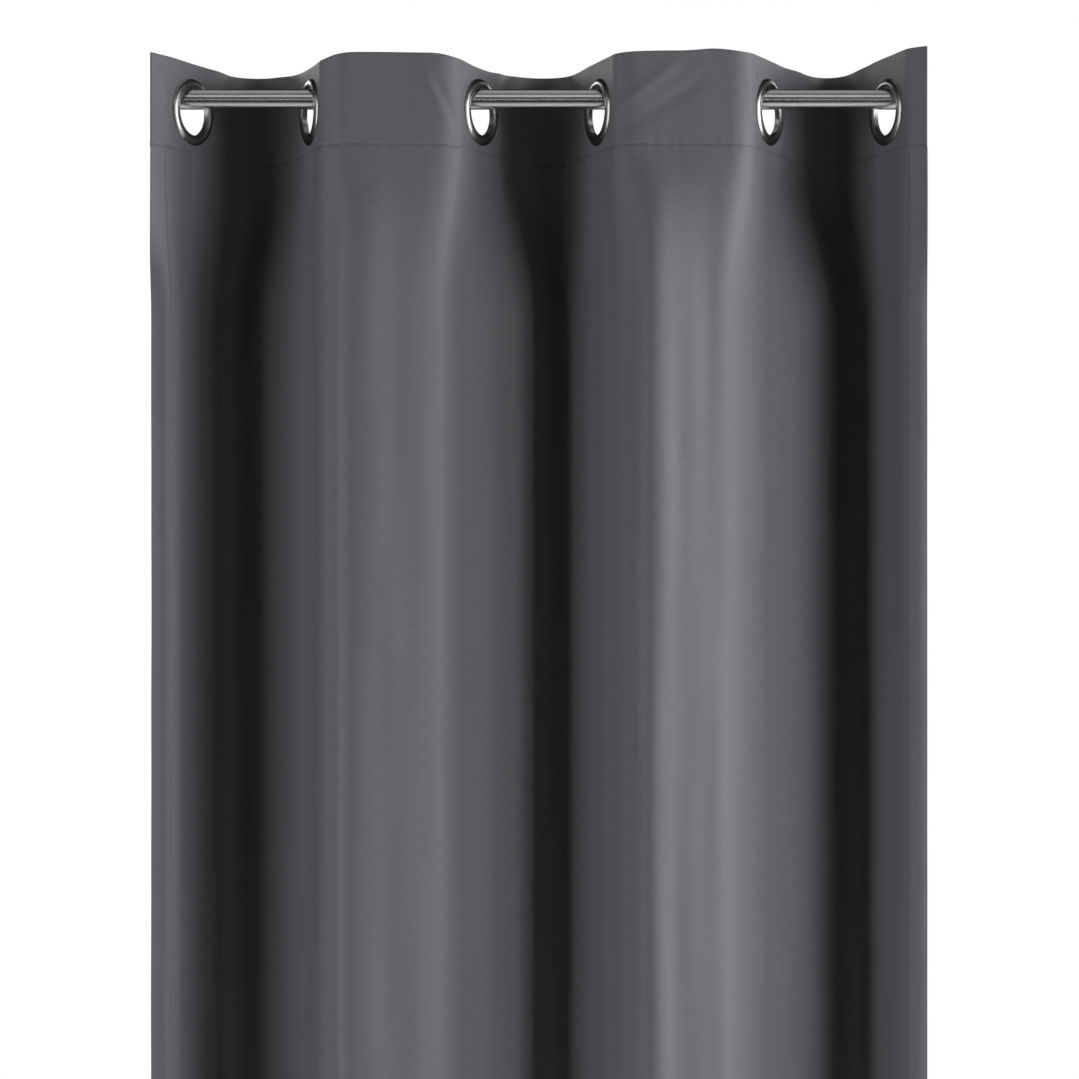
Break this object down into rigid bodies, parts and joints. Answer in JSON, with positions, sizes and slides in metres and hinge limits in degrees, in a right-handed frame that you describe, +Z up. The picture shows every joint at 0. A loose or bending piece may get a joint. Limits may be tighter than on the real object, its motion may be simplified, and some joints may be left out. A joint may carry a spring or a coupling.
{
  "type": "eyelet curtain panel",
  "caption": "Dark grey woven curtain panel with metal ring eyelets, hung in deep upright folds on a round steel pole, with a stiffened header and hemmed edges.",
  "frame": {"origin": "on the pole's axis, half way along the pole and half way between the end eyelets", "axes": "+X along the pole to the viewer's right, -Y towards the room, +Z up"},
  "size_m": [0.7342, 0.1382, 1.372],
  "materials": {
    "cloth": "closely woven polyester, slight satin sheen",
    "stiffener": "bonded header interlining",
    "thread": "spun sewing thread",
    "label": "blank satin label",
    "eyelet_metal": "satin dark nickel",
    "pole_steel": "brushed along its length"
  },
  "bodies": {
    "section_1": {"hanging_pole": "pole_steel", "eyelet_front_1": "eyelet_metal", "eyelet_back_1": "eyelet_metal", "face_cloth_1": "cloth", "header_stiffener_1": "stiffener", "header_facing_1": "cloth", "bottom_hem_1": "cloth", "header_thread_1": "thread", "hem_thread_1": "thread", "side_hem_left": "cloth", "side_thread_left": "thread", "care_label": "label"},
    "section_2": {"eyelet_front_2": "eyelet_metal", "eyelet_back_2": "eyelet_metal", "face_cloth_2": "cloth", "header_stiffener_2": "stiffener", "header_facing_2": "cloth", "bottom_hem_2": "cloth", "header_thread_2": "thread", "hem_thread_2": "thread"},
    "section_3": {"eyelet_front_3": "eyelet_metal", "eyelet_back_3": "eyelet_metal", "face_cloth_3": "cloth", "header_stiffener_3": "stiffener", "header_facing_3": "cloth", "bottom_hem_3": "cloth", "header_thread_3": "thread", "hem_thread_3": "thread"},
    "section_4": {"eyelet_front_4": "eyelet_metal", "eyelet_back_4": "eyelet_metal", "face_cloth_4": "cloth", "header_stiffener_4": "stiffener", "header_facing_4": "cloth", "bottom_hem_4": "cloth", "header_thread_4": "thread", "hem_thread_4": "thread"},
    "section_5": {"eyelet_front_5": "eyelet_metal", "eyelet_back_5": "eyelet_metal", "face_cloth_5": "cloth", "header_stiffener_5": "stiffener", "header_facing_5": "cloth", "bottom_hem_5": "cloth", "header_thread_5": "thread", "hem_thread_5": "thread"},
    "section_6": {"eyelet_front_6": "eyelet_metal", "eyelet_back_6": "eyelet_metal", "face_cloth_6": "cloth", "header_stiffener_6": "stiffener", "header_facing_6": "cloth", "bottom_hem_6": "cloth", "header_thread_6": "thread", "hem_thread_6": "thread", "side_hem_right": "cloth", "side_thread_right": "thread"}
  },
  "joints": [
    {"name": "slide_2", "type": "slide", "parent": "section_1", "child": "section_2", "axis": [-1, 0, 0], "range_m": [0, 0.05], "deforming": ["face_cloth_2", "header_stiffener_2", "header_facing_2", "bottom_hem_2", "header_thread_2", "hem_thread_2", "face_cloth_1", "header_stiffener_1", "header_facing_1", "bottom_hem_1", "header_thread_1", "hem_thread_1"]},
    {"name": "slide_3", "type": "slide", "parent": "section_2", "child": "section_3", "axis": [-1, 0, 0], "range_m": [0, 0.0725], "deforming": ["face_cloth_3", "header_stiffener_3", "header_facing_3", "bottom_hem_3", "header_thread_3", "hem_thread_3"]},
    {"name": "slide_4", "type": "slide", "parent": "section_3", "child": "section_4", "axis": [-1, 0, 0], "range_m": [0, 0.05], "deforming": ["face_cloth_4", "header_stiffener_4", "header_facing_4", "bottom_hem_4", "header_thread_4", "hem_thread_4"]},
    {"name": "slide_5", "type": "slide", "parent": "section_4", "child": "section_5", "axis": [-1, 0, 0], "range_m": [0, 0.0725], "deforming": ["face_cloth_5", "header_stiffener_5", "header_facing_5", "bottom_hem_5", "header_thread_5", "hem_thread_5"]},
    {"name": "slide_6", "type": "slide", "parent": "section_5", "child": "section_6", "axis": [-1, 0, 0], "range_m": [0, 0.05], "deforming": ["face_cloth_6", "header_stiffener_6", "header_facing_6", "bottom_hem_6", "header_thread_6", "hem_thread_6"]}
  ],
  "couplings": [
    {"joint": "slide_3", "follows": "slide_2", "ratio": 1.448},
    {"joint": "slide_4", "follows": "slide_2", "ratio": 1},
    {"joint": "slide_5", "follows": "slide_2", "ratio": 1.448},
    {"joint": "slide_6", "follows": "slide_2", "ratio": 1}
  ]
}
